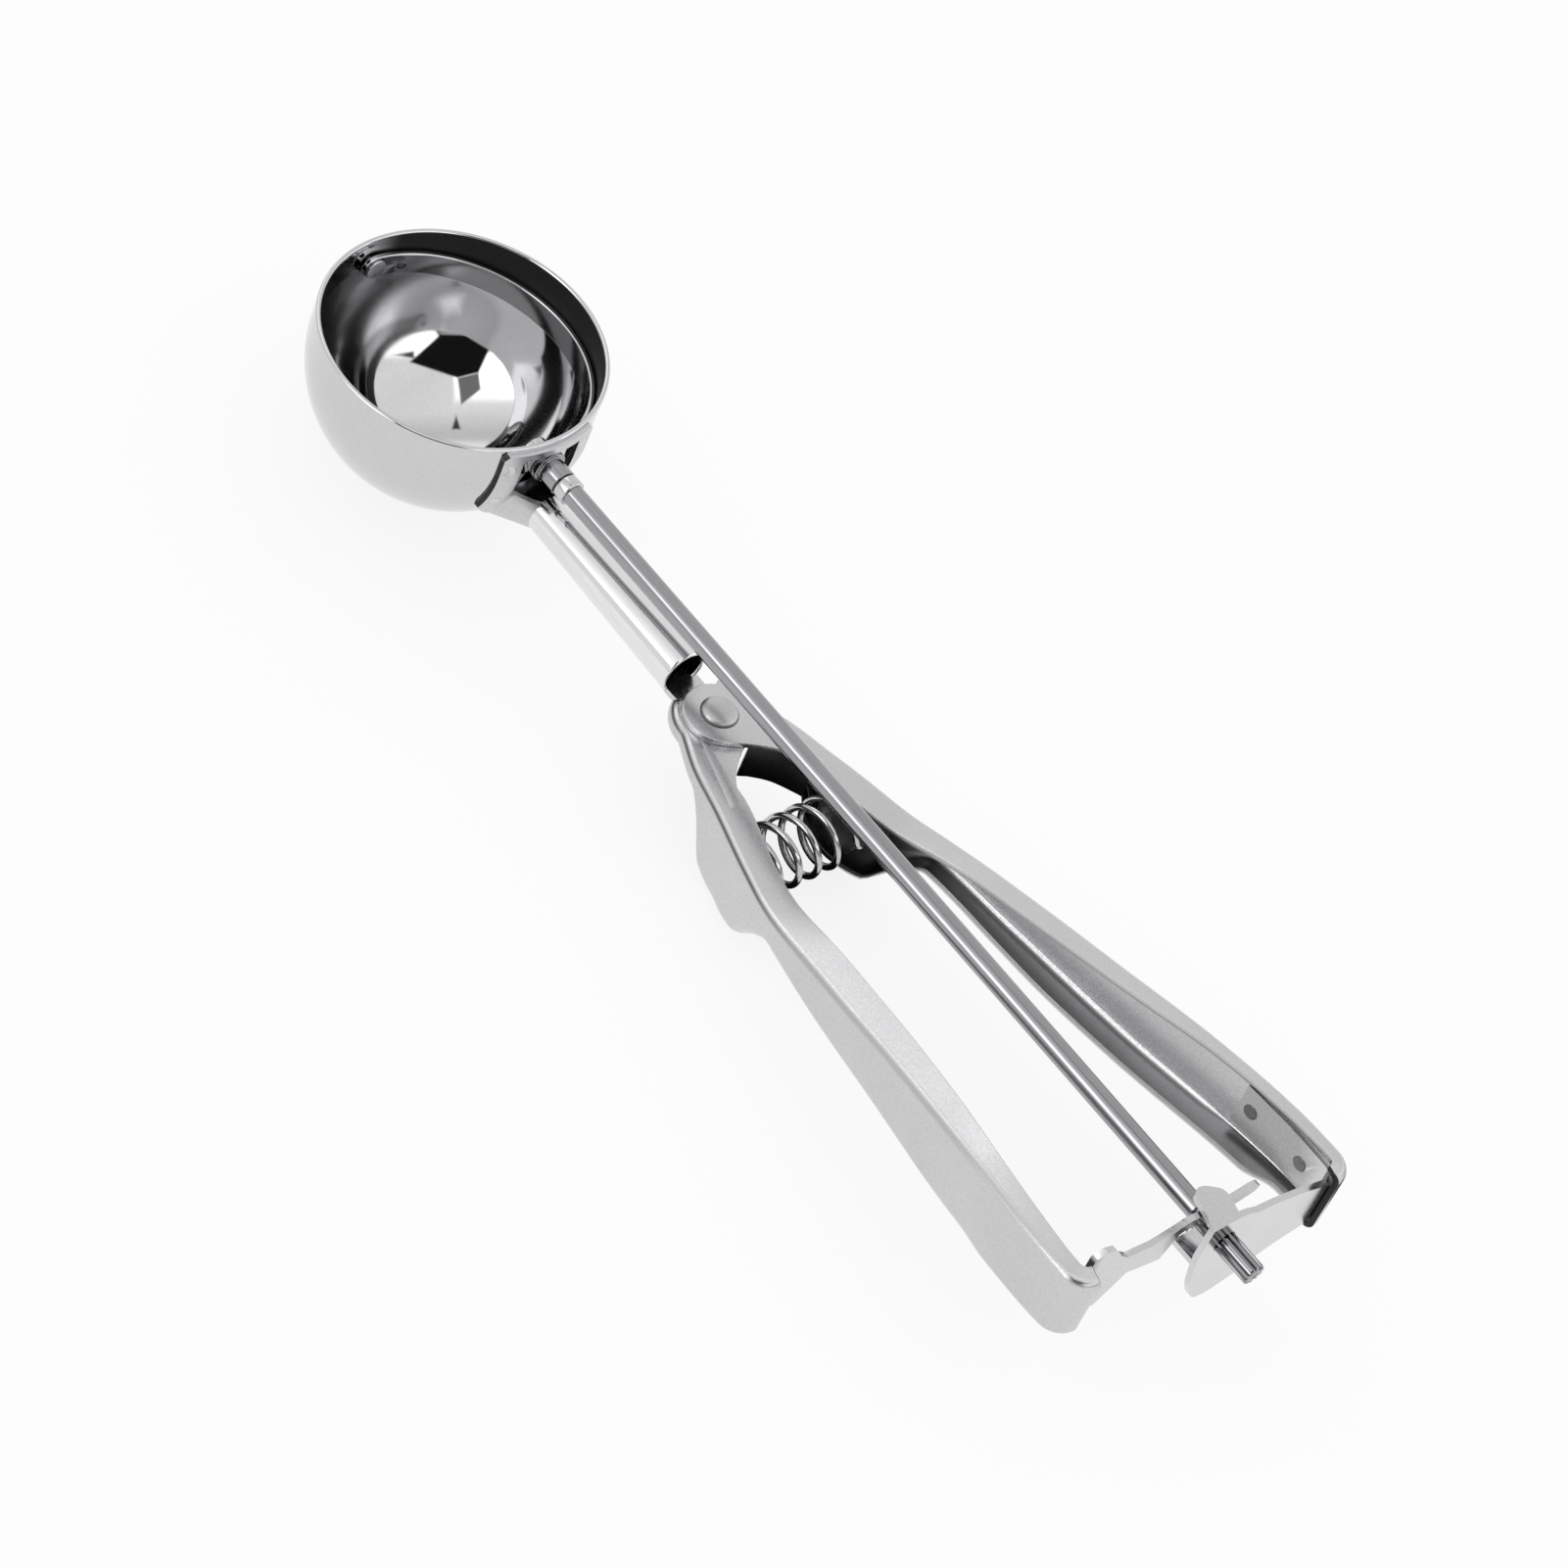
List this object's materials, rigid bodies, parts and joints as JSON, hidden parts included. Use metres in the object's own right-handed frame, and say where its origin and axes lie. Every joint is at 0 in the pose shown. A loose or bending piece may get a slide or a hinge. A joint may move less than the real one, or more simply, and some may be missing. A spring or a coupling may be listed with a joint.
{
  "type": "ice cream scoop",
  "caption": "Squeeze-handle ice cream scoop: a round bowl with a scraper blade that a rack and pinion swing through it, spring-opened sheet handles behind.",
  "frame": {"origin": "centre of the bounding box in X and Y, at the height of the bowl's lowest point", "axes": "+X along the spindle from the bowl to the handle ends, +Y from the moving handle to the fixed handle, +Z out of the bowl's mouth"},
  "size_m": [0.204, 0.0506, 0.0271],
  "materials": {
    "mirror_steel": "mirror polished stainless steel",
    "handle_steel": "tumble polished stainless steel",
    "polished_steel": "bright drawn stainless steel",
    "dull_steel": "as machined stainless steel",
    "weld_steel": "spot weld, slightly dull",
    "spring_steel": "drawn spring wire"
  },
  "bodies": {
    "frame": {"bowl": "mirror_steel", "front_pin": "polished_steel", "spindle_bushing": "dull_steel", "neck_saddle": "handle_steel", "saddle_welds": "weld_steel", "neck_tube": "handle_steel", "fixed_handle": "handle_steel", "pivot_rivet": "polished_steel", "fixed_spring_seat": "dull_steel", "return_spring": "spring_steel", "guide_bracket": "polished_steel", "bracket_welds": "weld_steel"},
    "lever": {"moving_handle": "handle_steel", "moving_spring_seat": "dull_steel", "rack": "polished_steel", "rack_welds": "weld_steel"},
    "spindle": {"spindle_rod": "polished_steel", "spindle_collar": "polished_steel", "blade_hub": "dull_steel", "scraper_blade": "polished_steel", "pinion": "polished_steel"}
  },
  "joints": [
    {"name": "spindle_turn", "type": "hinge", "parent": "frame", "child": "spindle", "pos_m": [0, 0, 0.022], "axis": [1, 0, 0], "range_deg": [-168, 0]},
    {"name": "squeeze", "type": "hinge", "parent": "frame", "child": "lever", "pos_m": [-0.0125, 0, 0.013], "axis": [0, 0, 1], "range_deg": [0, 2.6], "stiffness_Nm_per_rad": 0.69, "springref_deg": -11.46, "deforming": ["return_spring"]}
  ],
  "couplings": [
    {"joint": "squeeze", "follows": "spindle_turn", "ratio": -0.015311}
  ]
}
